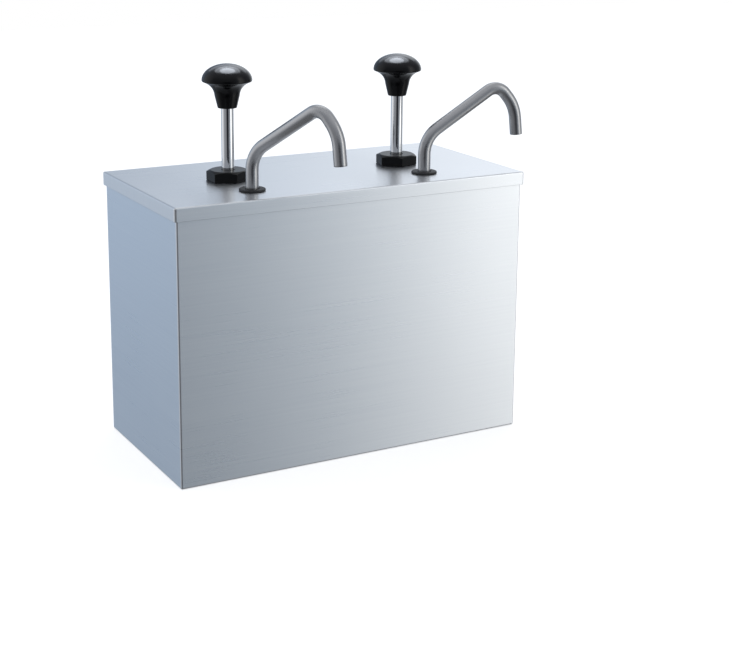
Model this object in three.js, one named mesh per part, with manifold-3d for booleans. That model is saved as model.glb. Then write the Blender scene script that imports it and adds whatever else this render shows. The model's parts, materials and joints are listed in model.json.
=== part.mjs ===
// Countertop sauce dispenser: an open-topped case of folded sheet steel and a lift-off lid that
// carries two hand pumps side by side, each reaching down into its own lift-out pan.
// Millimetres, +Z up. The origin is the middle of the case's underside, X runs along the case
// from left to right, and the front faces -Y.
import * as THREE from 'three';
import { mergeVertices } from 'three/addons/utils/BufferGeometryUtils.js';
import { RoundedBoxGeometry } from 'three/addons/geometries/RoundedBoxGeometry.js';
import Module from 'manifold-3d';

const wasm = await Module();
wasm.setup();

// Clearances
const seatGap = 0.3; // between pieces that rest on, screw into or plug into each other
const slideGap = 0.35; // all round a piece that slides or turns in another
const sealGap = 0.2; // between a rubber ring and the wall that it wipes
const cutOverrun = 3; // how far a cutting shape runs past what it cuts

// Case and lid
const lidLength = 386;
const lidDepth = 194;
const lidTopHeight = 276; // from the worktop to the lid's top face
const lidSheet = 1;
const lidSkirt = 13.5; // depth of the turned-down edge, from the lid's top face
const lidFold = 0.6; // inside radius of the lid's folds
const lidFit = 1.5; // room between the skirt and the case's wall
const caseSheet = 0.9;
const caseFold = 0.7; // inside radius of the case's folds

// Pans
const panSheet = 0.8;
const panRim = 6; // width of the flat rim that stands out round the mouth
const panWallGap = 1; // between a pan's rim and the case's wall
const panCorner = 11.2; // inside radius of the pan's corners
const panHeadroom = 13; // from the pan's rim up to the lid's top face

// Plunger
const plungerStroke = 58;
const knobStopGap = 3.7; // knob's foot above the lock collar, plunger down
const rodRadius = 6.35;
const spigotShoulder = 2.35; // step down to the rod's lower end, which holds the piston
const spigotProud = 1.5; // rod end past the nut
const knobRadius = 24.9;
const knobHeight = 43.65;
const knobDome = 16.27; // height of the dome above the knob's edge
const knobLip = 1.54; // radius of the rolled edge under the dome
const knobLipTurn = 74; // degrees that the edge rolls under before the flare runs on from it
const knobFootWall = 3.15; // knob's wall round the rod, at its foot
const knobFootRound = 0.8;
const knobSocketDepth = 20;
const pistonHeight = 14;
const pistonStopGap = 0.5; // piston to the head above it, plunger up
const nutWall = 2.5; // least wall of the nut round the rod
const nutHeight = 6;
const nutCornerRound = 0.6;
const sealSection = 1.2; // radius of the piston ring's section

// Lock collar, head and bush
const collarHeight = 10.6;
const collarWeb = 2.5; // top wall of the collar, round the rod
const collarChamfer = 2.2; // drop of the chamfer at the hexagon's corners
const collarChamferReach = 4.4; // how far in it reaches from the corners
const collarCornerRound = 1.4;
const bushWall = 3.15;
const bushFlange = 1.5;
const headNeckWall = 2.7; // screwed neck that comes up through the lid
const headFlange = 3;
const headSkirt = 8; // screwed skirt that goes down into the cylinder
const washerThickness = 1.5;
const washerWidth = 6.2; // from the lid's hole out to the cylinder's outer wall

// Cylinder and intake
const cylinderWall = 1.6;
const cylinderReserve = 29.4; // piston's underside to the cylinder's underside, plunger down
const coneFoot = 0.75; // flat ring between the cylinder's cone and the intake tube
const springWallGap = 2.4; // return spring to the cylinder's bore
const springWire = 1.8; // diameter of its wire
const springTurns = 8;
const intakeRadius = 10.25;
const intakeWall = 1.5;
const intakeFoot = 12; // between the intake's mouth and the pan's floor
const intakeChamfer = 2;
const intakeBallWay = 2.4; // room round the ball for the sauce
const intakeBallLift = 4;
const valveDepth = 22; // from the intake tube's top to its valve seat
const valveSeatHeight = 8;
const stopPinRadius = 1.2;

// Discharge and spout
const spoutSetback = 40; // the spout's axis behind the lid's front edge
const spoutRadius = 6.35;
const spoutWall = 1.2;
const spoutRise = 36.4; // lid's top face to the first corner of the spout's centre line
const spoutArm = 95.6; // first corner to second corner
const spoutArmSlope = 33.2; // degrees above the horizontal
const spoutShoulder = 30.6; // second corner to third corner
const spoutShoulderLean = 39.5; // degrees outwards from straight down
const spoutDrop = 30; // third corner to the mouth
const spoutLean = 5.7; // degrees outwards from straight down
const spoutLowerBend = 30.2; // centre line radii
const spoutUpperBend = 14.2;
const spoutEndBend = 40;
const bootRadius = 14;
const bootWall = 2;
const bootFloor = 2;
const bootChamfer = 6;
const bootFootWidth = 0.75; // flat ring under the boot, outside the elbow
const portRise = 17; // the discharge port's axis above the cylinder's underside
const elbowRadius = 6.75;
const elbowWall = 1.6;
const elbowStub = 2.7; // straight end of the elbow, under the boot
const dischargeBallLift = 5;
const ferruleHeight = 20;
const ferruleStep = 6; // the narrow passage below the spout's socket
const ferruleSlotWidth = 4;
const ferruleSlotDepth = 3;
const ringSection = 1.15; // radius of the spout ring's section
const grommetOverlap = 1.3; // how far the grommet reaches past the lid's hole
const grommetFlange = 2; // thickness above the lid
const grommetRound = 0.9;
const grommetLip = 1.5; // thickness under the lid

// How the two pumps stand in the photographed pose, in degrees about +Z
const pumpPoses = {
  left: { side: -1, collarTurn: 0, spoutAzimuth: -62 },
  right: { side: 1, collarTurn: -13.5, spoutAzimuth: -9 },
};

// Proportions
const ballHoleShare = 0.73; // a valve's hole, of the radius of the ball that closes it
const coneRiseShare = 0.7; // rise of a ball seat's cone, of its width
const elbowBendShare = 0.58; // elbow's bend, of the room from the spout's axis to the cylinder
const closedPitchShare = 1.3; // rise of a spring's end turn, of its wire

// Control points of the knob's flare: share of the way out from foot to rim, share of its height
const knobFlareShares = [
  [0.308, 0.856],
  [0.218, 0.627],
  [0.195, 0.485],
];

// Fineness of round faces
const seenSides = 28;
const rodSides = 20;
const hiddenSides = 16;
const tubeSides = 14;
const tubeBoreSides = 8;
const sheetBendSteps = 1;
const panCornerSteps = 2;
const pinSides = 8;
const sectionSides = 6;
const wireSides = 5;
const ballSides = 12;
const ballRows = 7;
const domeSteps = 7;
const flareSteps = 5;
const roundingSteps = 2;
const stepsPerTurn = 8;
const degreesPerStep = 12;

// Sizes across that follow from the ones above
const lidOverhang = lidSheet + lidFit;
const caseLength = lidLength - 2 * lidOverhang;
const caseDepth = lidDepth - 2 * lidOverhang;
const pumpX = lidLength / 4;
const panLength = 2 * (pumpX - lidOverhang - caseSheet - panWallGap);
const panDepth = caseDepth - 2 * caseSheet - 2 * panWallGap;
const spigotRadius = rodRadius - spigotShoulder;
const knobFootRadius = rodRadius + knobFootWall;
const bushRadius = rodRadius + bushWall;
const headNeckRadius = bushRadius + seatGap + headNeckWall;
const neckHoleRadius = headNeckRadius + seatGap;
const cylinderRadius = neckHoleRadius + washerWidth;
const collarFlats = 2 * cylinderRadius;
const boreRadius = cylinderRadius - cylinderWall;
const springRadius = boreRadius - springWallGap;
const intakeBore = intakeRadius - intakeWall;
const intakeBallRadius = intakeBore - intakeBallWay;
const valveHole = intakeBallRadius * ballHoleShare;
const valveRadius = intakeBore - seatGap;
const valveMouth = (valveHole + valveRadius) / 2;
const cylinderCone = cylinderRadius - intakeRadius - coneFoot;
const spoutOffset = lidDepth / 2 - spoutSetback;
const spoutBore = spoutRadius - spoutWall;
const bootBore = bootRadius - bootWall;
const ferruleRadius = bootBore - 2 * seatGap;
const spoutHoleRadius = ferruleRadius + seatGap;
const grommetRadius = spoutHoleRadius + grommetOverlap;
const elbowBore = elbowRadius - elbowWall;
const elbowBend = (spoutOffset - cylinderRadius) * elbowBendShare;
const dischargeBallRadius = elbowBore / ballHoleShare;

// Levels of the case and the pans, from the worktop
const caseTop = lidTopHeight - lidSheet - seatGap;
const panBottom = caseSheet + seatGap;
const panTop = lidTopHeight - panHeadroom;

// Levels of one pump, from the lid's top face, down is negative
const collarBase = seatGap;
const collarTop = collarBase + collarHeight;
const collarPocketTop = collarTop - collarWeb;
const bushTop = collarPocketTop - seatGap;
const headTop = bushTop - bushFlange - seatGap;
const washerTop = -lidSheet - seatGap;
const washerBottom = washerTop - washerThickness;
const headFlangeTop = washerBottom - seatGap;
const headFlangeBottom = headFlangeTop - headFlange;
const headBottom = headFlangeBottom - headSkirt;
const cylinderTop = headFlangeBottom - seatGap;
const knobBottom = collarTop + knobStopGap + plungerStroke;
const pistonTop = headBottom - pistonStopGap;
const pistonBottom = pistonTop - pistonHeight;
const pistonMiddle = (pistonTop + pistonBottom) / 2;
const nutTop = pistonBottom - seatGap;
const nutBottom = nutTop - nutHeight;
const rodEnd = nutBottom - spigotProud;
const cylinderBottom = pistonBottom - plungerStroke - cylinderReserve;
const portLevel = cylinderBottom + portRise;
const intakeTop = cylinderBottom - seatGap;
const intakeBottom = panBottom + panSheet + intakeFoot - lidTopHeight;
const valveTop = intakeTop - valveDepth;
const bootBottom = portLevel + elbowBend + elbowStub + seatGap;
const bootSeat = bootBottom + bootFloor;
const grommetTop = seatGap + grommetFlange;
const grommetLipTop = -lidSheet - seatGap;
const grommetBottom = grommetLipTop - grommetLip;
const bootTop = grommetBottom - seatGap;

// Levels of the balls, each resting on the rim of a round hole, and of what stops them
const ballHeight = (ball, hole) => Math.sqrt(ball * ball - hole * hole) + seatGap;
const valveEdge = valveTop - (valveMouth - valveHole) * coneRiseShare;
const intakeBallLevel = valveEdge + ballHeight(intakeBallRadius, valveHole);
const stopPinLevel = intakeBallLevel + intakeBallRadius + intakeBallLift + seatGap + stopPinRadius;
const dischargeBallLevel = bootSeat + ballHeight(dischargeBallRadius, elbowBore);
const ferruleBottom = dischargeBallLevel + dischargeBallRadius + dischargeBallLift + seatGap;
const ferruleTop = ferruleBottom + ferruleHeight;
const ferruleMiddle = (ferruleBottom + ferruleTop) / 2;
const spoutBottom = ferruleBottom + ferruleStep + seatGap;

// Finishes
const finish = (color, roughness, metalness) =>
  new THREE.MeshStandardMaterial({ color, roughness, metalness });
const finishes = {
  brushedSheet: finish(0xc4ccd4, 0.34, 1),
  plainSheet: finish(0xb8bdc2, 0.42, 1),
  brightSteel: finish(0xd8dadd, 0.12, 1),
  satinTube: finish(0xaaa9a8, 0.3, 1),
  turnedSteel: finish(0xb2b4b8, 0.28, 1),
  glossBlack: finish(0x08090b, 0.12, 0),
  mattBlack: finish(0x17181a, 0.5, 0),
  blackRubber: finish(0x111213, 0.65, 0),
  whiteNylon: finish(0xe4e2da, 0.45, 0),
};

// One closed shell: corners shared, faces without area dropped, faces turned outwards
function cleaned(geometry) {
  const bare = geometry.clone();
  bare.deleteAttribute('normal');
  bare.deleteAttribute('uv');
  const merged = mergeVertices(bare);
  const place = merged.getAttribute('position');
  const corner = [0, 1, 2].map(() => new THREE.Vector3());
  const kept = [];
  let volume = 0;
  for (let i = 0; i < merged.index.count; i += 3) {
    const face = [0, 1, 2].map((k) => merged.index.getX(i + k));
    if (new Set(face).size < 3) continue;
    face.forEach((v, k) => corner[k].fromBufferAttribute(place, v));
    volume += corner[0].dot(corner[1].clone().cross(corner[2]));
    kept.push(face);
  }
  const turned = volume < 0 ? kept.map((face) => face.reverse()) : kept;
  merged.setIndex(turned.flat());
  return merged;
}

function solidOf(geometry) {
  const shell = cleaned(geometry);
  return new wasm.Manifold(
    new wasm.Mesh({
      numProp: 3,
      vertProperties: shell.getAttribute('position').array,
      triVerts: new Uint32Array(shell.index.array),
    }),
  );
}

function geometryOf(solid) {
  const mesh = solid.getMesh();
  const geometry = new THREE.BufferGeometry();
  geometry.setAttribute('position', new THREE.BufferAttribute(mesh.vertProperties, mesh.numProp));
  geometry.setIndex(new THREE.BufferAttribute(mesh.triVerts, 1));
  return geometry;
}

function cut(geometry, ...tools) {
  const solid = tools.reduce((left, tool) => left.subtract(solidOf(tool)), solidOf(geometry));
  return geometryOf(solid);
}

function joined(geometry, ...others) {
  const solid = others.reduce((all, other) => all.add(solidOf(other)), solidOf(geometry));
  return geometryOf(solid);
}

// Turned pieces: a closed outline of [radius, height] corners, revolved about +Z
function turned(outline, sides) {
  const points = outline.map(([radius, height]) => new THREE.Vector2(radius, height));
  const onAxis = outline[0][0] === 0 && outline.at(-1)[0] === 0;
  if (!onAxis) points.push(points[0].clone());
  return cleaned(new THREE.LatheGeometry(points, sides).rotateX(Math.PI / 2));
}

function pipe(outer, inner, bottom, top, sides) {
  const outline = [
    [outer, bottom],
    [outer, top],
    [inner, top],
    [inner, bottom],
  ];
  return turned(outline, sides);
}

function rod(radius, bottom, top, sides) {
  const outline = [
    [0, bottom],
    [radius, bottom],
    [radius, top],
    [0, top],
  ];
  return turned(outline, sides);
}

// Corners along an arc in the outline's plane, from one angle to another, round or oval
function arc(x, y, size, from, to, steps, tall = size) {
  return Array.from({ length: steps + 1 }, (_, i) => {
    const angle = from + ((to - from) * i) / steps;
    return [x + size * Math.cos(angle), y + tall * Math.sin(angle)];
  });
}

// A ring of round section, such as a rubber seal
function roundRing(radius, height, section) {
  return turned(arc(radius, height, section, 0, 2 * Math.PI, sectionSides).slice(1), hiddenSides);
}

function block(low, high) {
  const size = high.map((value, k) => value - low[k]);
  const box = new THREE.BoxGeometry(...size);
  return box.translate(...low.map((value, k) => value + size[k] / 2));
}

// A box with every edge rounded, between two corners
function roundedBlock(low, high, radius, steps) {
  const size = high.map((value, k) => value - low[k]);
  const box = new RoundedBoxGeometry(...size, steps, radius);
  return box.translate(...low.map((value, k) => value + size[k] / 2));
}

function regularCorners(radius, sides) {
  return Array.from({ length: sides }, (_, i) => {
    const angle = (2 * Math.PI * i) / sides;
    return new THREE.Vector2(radius * Math.cos(angle), radius * Math.sin(angle));
  });
}

// A hexagonal prism with corners on +-Y, its upright edges rounded
function hexPrism(flats, bottom, top, cornerRound) {
  const reach = (flats - 2 * cornerRound) / Math.sqrt(3);
  const spread = Math.PI / 6;
  const corners = Array.from({ length: 6 }, (_, i) => {
    const angle = Math.PI / 2 + (i * Math.PI) / 3;
    const [x, y] = [reach * Math.cos(angle), reach * Math.sin(angle)];
    return arc(x, y, cornerRound, angle - spread, angle + spread, roundingSteps);
  });
  const shape = new THREE.Shape(corners.flat().map((corner) => new THREE.Vector2(...corner)));
  const prism = new THREE.ExtrudeGeometry(shape, { depth: top - bottom, bevelEnabled: false });
  return prism.translate(0, 0, bottom);
}

// A centre line of straight runs and round bends, whose steps fall only where it bends
class BentLine extends THREE.Curve {
  constructor(corners, bends) {
    super();
    const points = corners.map((corner) => new THREE.Vector3(...corner));
    this.stations = [points[0]];
    this.tangents = [points[1].clone().sub(points[0]).normalize()];
    bends.forEach((radius, i) => this.addBend(points[i], points[i + 1], points[i + 2], radius));
    this.stations.push(points.at(-1));
    this.tangents.push(points.at(-1).clone().sub(points.at(-2)).normalize());
  }

  addBend(before, corner, after, radius) {
    const arriving = corner.clone().sub(before).normalize();
    const leaving = after.clone().sub(corner).normalize();
    const turn = arriving.angleTo(leaving);
    const reach = radius * Math.tan(turn / 2);
    const start = corner.clone().addScaledVector(arriving, -reach);
    const inward = leaving.clone().addScaledVector(arriving, -leaving.dot(arriving)).normalize();
    const centre = start.clone().addScaledVector(inward, radius);
    const steps = Math.ceil(THREE.MathUtils.radToDeg(turn) / degreesPerStep);
    for (let i = 0; i <= steps; i += 1) {
      const angle = (turn * i) / steps;
      const station = centre.clone();
      station.addScaledVector(inward, -radius * Math.cos(angle));
      station.addScaledVector(arriving, radius * Math.sin(angle));
      const tangent = arriving.clone().multiplyScalar(Math.cos(angle));
      tangent.addScaledVector(inward, Math.sin(angle));
      this.stations.push(station);
      this.tangents.push(tangent);
    }
  }

  get steps() {
    return this.stations.length - 1;
  }

  getPointAt(u) {
    return this.stations[Math.round(u * this.steps)].clone();
  }

  getTangentAt(u) {
    return this.tangents[Math.round(u * this.steps)].clone();
  }

  getSpacedPoints() {
    return this.stations.map((station) => station.clone());
  }
}

function bentPipe(line, outer, inner) {
  const section = new THREE.Shape(regularCorners(outer, tubeSides));
  section.holes.push(new THREE.Path(regularCorners(inner, tubeBoreSides).reverse()));
  return cleaned(
    new THREE.ExtrudeGeometry(section, { steps: line.steps, extrudePath: line }),
  );
}

// A compression spring's wire, with its end turns closed up
class SpringLine extends THREE.Curve {
  constructor(radius, bottom, top) {
    super();
    Object.assign(this, { radius, bottom, top });
  }

  getPoint(t) {
    const angle = 2 * Math.PI * springTurns * t;
    const endTurn = 1 / springTurns;
    const closed = springWire * closedPitchShare;
    const rise = this.top - this.bottom - 2 * closed;
    const open = THREE.MathUtils.clamp((t - endTurn) / (1 - 2 * endTurn), 0, 1);
    const ends = Math.min(t / endTurn, 1) + Math.max((t - 1) / endTurn + 1, 0);
    const height = this.bottom + rise * open + closed * ends;
    const x = this.radius * Math.cos(angle);
    return new THREE.Vector3(x, this.radius * Math.sin(angle), height);
  }
}

// Least gap between turns of the wire that stand over each other
function leastSpringGap(line) {
  const samples = stepsPerTurn * springTurns;
  const turn = 1 / springTurns;
  let least = Infinity;
  for (let i = 0; i <= samples - stepsPerTurn; i += 1) {
    const t = i / samples;
    least = Math.min(least, line.getPoint(t).distanceTo(line.getPoint(t + turn)) - springWire);
  }
  return least;
}

const pieces = new THREE.Group();

function piece(name, geometry, material, parent) {
  const mesh = new THREE.Mesh(geometry, material);
  mesh.name = name;
  parent.add(mesh);
  return mesh;
}

// Case: an open-topped box with small folds along its edges
function caseGeometry() {
  const [x, y] = [caseLength / 2, caseDepth / 2];
  const fold = caseFold + caseSheet;
  const over = caseTop + fold + cutOverrun;
  const shell = roundedBlock([-x, -y, 0], [x, y, over], fold, sheetBendSteps);
  const hollow = roundedBlock(
    [-x + caseSheet, -y + caseSheet, caseSheet],
    [x - caseSheet, y - caseSheet, over + cutOverrun],
    caseFold,
    sheetBendSteps,
  );
  const above = block([-lidLength, -lidDepth, caseTop], [lidLength, lidDepth, over + cutOverrun]);
  return cut(shell, hollow, above);
}

// Lid: one sheet with its edges turned down, and two holes for each pump
function lidGeometry() {
  const [x, y] = [lidLength / 2, lidDepth / 2];
  const fold = lidFold + lidSheet;
  const bottom = lidTopHeight - lidSkirt;
  const under = bottom - fold - cutOverrun;
  const shell = roundedBlock([-x, -y, under], [x, y, lidTopHeight], fold, sheetBendSteps);
  const hollow = roundedBlock(
    [-x + lidSheet, -y + lidSheet, under - cutOverrun],
    [x - lidSheet, y - lidSheet, lidTopHeight - lidSheet],
    lidFold,
    sheetBendSteps,
  );
  const below = block([-lidLength, -lidDepth, under - cutOverrun], [lidLength, lidDepth, bottom]);
  const [low, high] = [lidTopHeight - lidSheet - cutOverrun, lidTopHeight + cutOverrun];
  const holes = Object.values(pumpPoses).flatMap(({ side }) => [
    rod(neckHoleRadius, low, high, hiddenSides).translate(side * pumpX, 0, 0),
    rod(spoutHoleRadius, low, high, hiddenSides).translate(side * pumpX, -spoutOffset, 0),
  ]);
  return cut(shell, hollow, below, ...holes);
}

// Pan: a deep tray with rounded corners and a flat rim, standing on the case's floor
function panGeometry() {
  const [x, y] = [panLength / 2 - panRim, panDepth / 2 - panRim];
  const corner = panCorner + panSheet;
  const rimCorner = corner + panRim;
  const over = panTop + corner + cutOverrun;
  const wall = roundedBlock([-x, -y, panBottom], [x, y, over], corner, panCornerSteps);
  const rim = roundedBlock(
    [-x - panRim, -y - panRim, panTop - 2 * rimCorner],
    [x + panRim, y + panRim, panTop + 2 * rimCorner],
    rimCorner,
    panCornerSteps,
  );
  const high = block([-lidLength, -lidDepth, panTop], [lidLength, lidDepth, over + 2 * rimCorner]);
  const low = block([-lidLength, -lidDepth, -lidDepth], [lidLength, lidDepth, panTop - panSheet]);
  const hollow = roundedBlock(
    [-x + panSheet, -y + panSheet, panBottom + panSheet],
    [x - panSheet, y - panSheet, over + cutOverrun],
    panCorner,
    panCornerSteps,
  );
  return cut(joined(cut(wall, high), cut(rim, low, high)), hollow);
}

// Knob: a mushroom dome, a rolled lip and a trumpet-shaped stem with a blind socket for the rod
function knobGeometry() {
  const rim = knobHeight - knobDome;
  const lipTurn = -THREE.MathUtils.degToRad(knobLipTurn);
  const lip = arc(knobRadius - knobLip, rim, knobLip, lipTurn, 0, roundingSteps);
  const spread = knobRadius - knobFootRadius;
  const flareStart = new THREE.Vector2(...lip[0]);
  const flare = new THREE.CubicBezierCurve(
    flareStart,
    ...knobFlareShares.map(
      ([out, up]) => new THREE.Vector2(knobFootRadius + spread * out, flareStart.y * up),
    ),
  );
  const socket = rodRadius + seatGap;
  const socketTop = knobSocketDepth + seatGap;
  const outline = [
    [0, socketTop],
    [socket, socketTop],
    [socket, 0],
    [knobFootRadius - knobFootRound, 0],
    [knobFootRadius, knobFootRound],
    ...flare.getPoints(flareSteps).reverse().map((point) => [point.x, point.y]),
    ...lip.slice(1),
    ...arc(0, rim, knobRadius, 0, Math.PI / 2, domeSteps, knobDome).slice(1, -1),
    [0, knobHeight],
  ];
  return turned(outline, seenSides);
}

// Lock collar: a hexagonal nut with a chamfered top that clamps the pump to the lid
function collarGeometry() {
  const corner = collarFlats / Math.sqrt(3);
  const prism = hexPrism(collarFlats, collarBase, collarTop, collarCornerRound);
  const flatRadius = corner - collarChamferReach;
  const envelope = [
    [0, collarBase - cutOverrun],
    [corner + cutOverrun, collarBase - cutOverrun],
    [corner + cutOverrun, collarTop - collarChamfer],
    [corner, collarTop - collarChamfer],
    [flatRadius, collarTop],
    [0, collarTop],
  ];
  const blank = solidOf(prism).intersect(solidOf(turned(envelope, seenSides)));
  const pocket = rod(headNeckRadius + seatGap, -cutOverrun, collarPocketTop, hiddenSides);
  const hole = rod(rodRadius + slideGap, 0, collarTop + cutOverrun, hiddenSides);
  return cut(geometryOf(blank), pocket, hole);
}

// Plunger rod: bright bar with a turned-down spigot for piston and nut
function plungerRodGeometry() {
  const shoulder = pistonTop + seatGap;
  const top = knobBottom + knobSocketDepth;
  const outline = [
    [0, rodEnd],
    [spigotRadius, rodEnd],
    [spigotRadius, shoulder],
    [rodRadius, shoulder],
    [rodRadius, top],
    [0, top],
  ];
  return turned(outline, rodSides);
}

// Cylinder head: screwed neck up through the lid, flange, and screwed skirt into the cylinder
function headGeometry() {
  const bore = bushRadius + seatGap;
  const skirt = boreRadius - seatGap;
  const outline = [
    [bore, headBottom],
    [skirt, headBottom],
    [skirt, headFlangeBottom],
    [cylinderRadius, headFlangeBottom],
    [cylinderRadius, headFlangeTop],
    [headNeckRadius, headFlangeTop],
    [headNeckRadius, headTop],
    [bore, headTop],
  ];
  return turned(outline, hiddenSides);
}

function bushGeometry() {
  const bore = rodRadius + slideGap;
  const flangeBottom = bushTop - bushFlange;
  const outline = [
    [bore, headBottom],
    [bushRadius, headBottom],
    [bushRadius, flangeBottom],
    [headNeckRadius - seatGap, flangeBottom],
    [headNeckRadius - seatGap, bushTop],
    [bore, bushTop],
  ];
  return turned(outline, hiddenSides);
}

// Radius of the cylinder's inner cone at a level, above its floor
const coneOffset = cylinderWall * Math.SQRT2;
const coneRadius = (level) => cylinderRadius - coneOffset + level - cylinderBottom - cylinderCone;
const coneLevel = (radius) => radius - coneRadius(0);

// Cylinder: a tube whose lower end is coned in to the intake, with a port in its front
function cylinderGeometry() {
  const floor = cylinderBottom + cylinderWall;
  const outline = [
    [intakeBore, cylinderBottom],
    [intakeRadius + coneFoot, cylinderBottom],
    [cylinderRadius, cylinderBottom + cylinderCone],
    [cylinderRadius, cylinderTop],
    [boreRadius, cylinderTop],
    [boreRadius, coneLevel(boreRadius)],
    [coneRadius(floor), floor],
    [intakeBore, floor],
  ];
  const port = rod(elbowBore, 0, cylinderRadius + cutOverrun, tubeBoreSides);
  port.rotateX(Math.PI / 2).translate(0, 0, portLevel);
  return cut(turned(outline, hiddenSides), port);
}

function pistonGeometry() {
  const radius = boreRadius - slideGap;
  const grooveFloor = boreRadius - sealGap - 2 * sealSection - seatGap;
  const grooveHalf = sealSection + seatGap;
  const middle = pistonMiddle;
  const bore = spigotRadius + seatGap;
  const outline = [
    [bore, pistonBottom],
    [radius, pistonBottom],
    [radius, middle - grooveHalf],
    [grooveFloor, middle - grooveHalf],
    [grooveFloor, middle + grooveHalf],
    [radius, middle + grooveHalf],
    [radius, pistonTop],
    [bore, pistonTop],
  ];
  return turned(outline, hiddenSides);
}

function nutGeometry() {
  const flats = 2 * (spigotRadius + nutWall);
  const prism = hexPrism(flats, nutBottom, nutTop, nutCornerRound);
  return cut(prism, rod(spigotRadius + seatGap, rodEnd, nutTop + cutOverrun, hiddenSides));
}

function springGeometry() {
  const wire = springWire / 2;
  const bottom = coneLevel(springRadius + seatGap) + wire;
  const line = new SpringLine(springRadius - wire, bottom, pistonBottom - seatGap - wire);
  const section = new THREE.Shape(regularCorners(wire, wireSides));
  const steps = stepsPerTurn * springTurns;
  springGaps.push(leastSpringGap(line));
  return cleaned(new THREE.ExtrudeGeometry(section, { steps, extrudePath: line }));
}

const springGaps = [];

// Intake tube: reaches down from the cylinder almost to the pan's floor
function intakeGeometry() {
  const outline = [
    [intakeBore, intakeBottom],
    [intakeRadius - intakeWall / 2, intakeBottom],
    [intakeRadius, intakeBottom + intakeChamfer],
    [intakeRadius, intakeTop],
    [intakeBore, intakeTop],
  ];
  return turned(outline, hiddenSides);
}

function valveSeatGeometry() {
  const outline = [
    [valveHole, valveTop - valveSeatHeight],
    [valveRadius, valveTop - valveSeatHeight],
    [valveRadius, valveTop],
    [valveMouth, valveTop],
    [valveHole, valveEdge],
  ];
  return turned(outline, hiddenSides);
}

function stopPinGeometry() {
  const half = intakeBore * Math.cos(Math.PI / hiddenSides) - seatGap;
  const pin = rod(stopPinRadius, -half, half, pinSides);
  return pin.rotateY(Math.PI / 2).translate(0, 0, stopPinLevel);
}

function ballGeometry(radius) {
  return cleaned(new THREE.SphereGeometry(radius, ballSides, ballRows).rotateX(Math.PI / 2));
}

// Elbow: bent tube from under the boot to the cylinder's port, its end cut to sit on the cylinder
function elbowGeometry() {
  const corners = [
    [0, -spoutOffset, bootBottom - seatGap],
    [0, -spoutOffset, portLevel],
    [0, -boreRadius, portLevel],
  ];
  const line = new BentLine(corners, [elbowBend]);
  const coping = rod(cylinderRadius + seatGap, cylinderBottom, cylinderTop, hiddenSides);
  return cut(bentPipe(line, elbowRadius, elbowBore), coping);
}

// Boot: the deep cup that the spout plugs into, with the discharge ball's seat in its floor
function bootGeometry() {
  const cone = bootSeat + (bootBore - elbowBore) * coneRiseShare;
  const outline = [
    [elbowBore, bootBottom],
    [elbowRadius + bootFootWidth, bootBottom],
    [bootRadius, bootBottom + bootChamfer],
    [bootRadius, bootTop],
    [bootBore, bootTop],
    [bootBore, cone],
    [elbowBore, bootSeat],
  ];
  return turned(outline, hiddenSides);
}

// Ferrule: the spout's plug, with a groove for its ring and a slotted foot that lets sauce past
function ferruleGeometry() {
  const socket = spoutRadius + seatGap;
  const middle = ferruleMiddle;
  const grooveHalf = ringSection + seatGap;
  const grooveFloor = bootBore - 2 * seatGap - 2 * ringSection;
  const outline = [
    [spoutBore, ferruleBottom],
    [ferruleRadius, ferruleBottom],
    [ferruleRadius, middle - grooveHalf],
    [grooveFloor, middle - grooveHalf],
    [grooveFloor, middle + grooveHalf],
    [ferruleRadius, middle + grooveHalf],
    [ferruleRadius, ferruleTop],
    [socket, ferruleTop],
    [socket, ferruleBottom + ferruleStep],
    [spoutBore, ferruleBottom + ferruleStep],
  ];
  const [reach, half] = [ferruleRadius + cutOverrun, ferruleSlotWidth / 2];
  const [low, high] = [ferruleBottom - cutOverrun, ferruleBottom + ferruleSlotDepth];
  const along = block([-reach, -half, low], [reach, half, high]);
  const across = block([-half, -reach, low], [half, reach, high]);
  return cut(turned(outline, hiddenSides), along, across);
}

// Spout: riser, sloping arm, shoulder and a mouth that points down, bent from one tube in the XZ plane
function spoutGeometry() {
  const onward = ([x, , z], length, degrees) => {
    const slope = THREE.MathUtils.degToRad(degrees);
    return [x + length * Math.cos(slope), 0, z + length * Math.sin(slope)];
  };
  const root = [0, 0, spoutRise];
  const crest = onward(root, spoutArm, spoutArmSlope);
  const shoulder = onward(crest, spoutShoulder, spoutShoulderLean - 90);
  const mouth = onward(shoulder, spoutDrop, spoutLean - 90);
  const corners = [[0, 0, spoutBottom], root, crest, shoulder, mouth];
  const line = new BentLine(corners, [spoutLowerBend, spoutUpperBend, spoutEndBend]);
  return bentPipe(line, spoutRadius, spoutBore);
}

// Grommet: black ring in the lid's hole that steadies the spout
function grommetGeometry() {
  const bore = spoutRadius + seatGap;
  const waist = spoutHoleRadius - seatGap;
  const rounding = (radius, from, to) =>
    arc(radius, grommetTop - grommetRound, grommetRound, from, to, roundingSteps);
  const outline = [
    [bore, grommetBottom],
    [grommetRadius, grommetBottom],
    [grommetRadius, grommetLipTop],
    [waist, grommetLipTop],
    [waist, seatGap],
    [grommetRadius, seatGap],
    ...rounding(grommetRadius - grommetRound, 0, Math.PI / 2),
    ...rounding(bore + grommetRound, Math.PI / 2, Math.PI),
  ];
  return turned(outline, rodSides);
}

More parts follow.
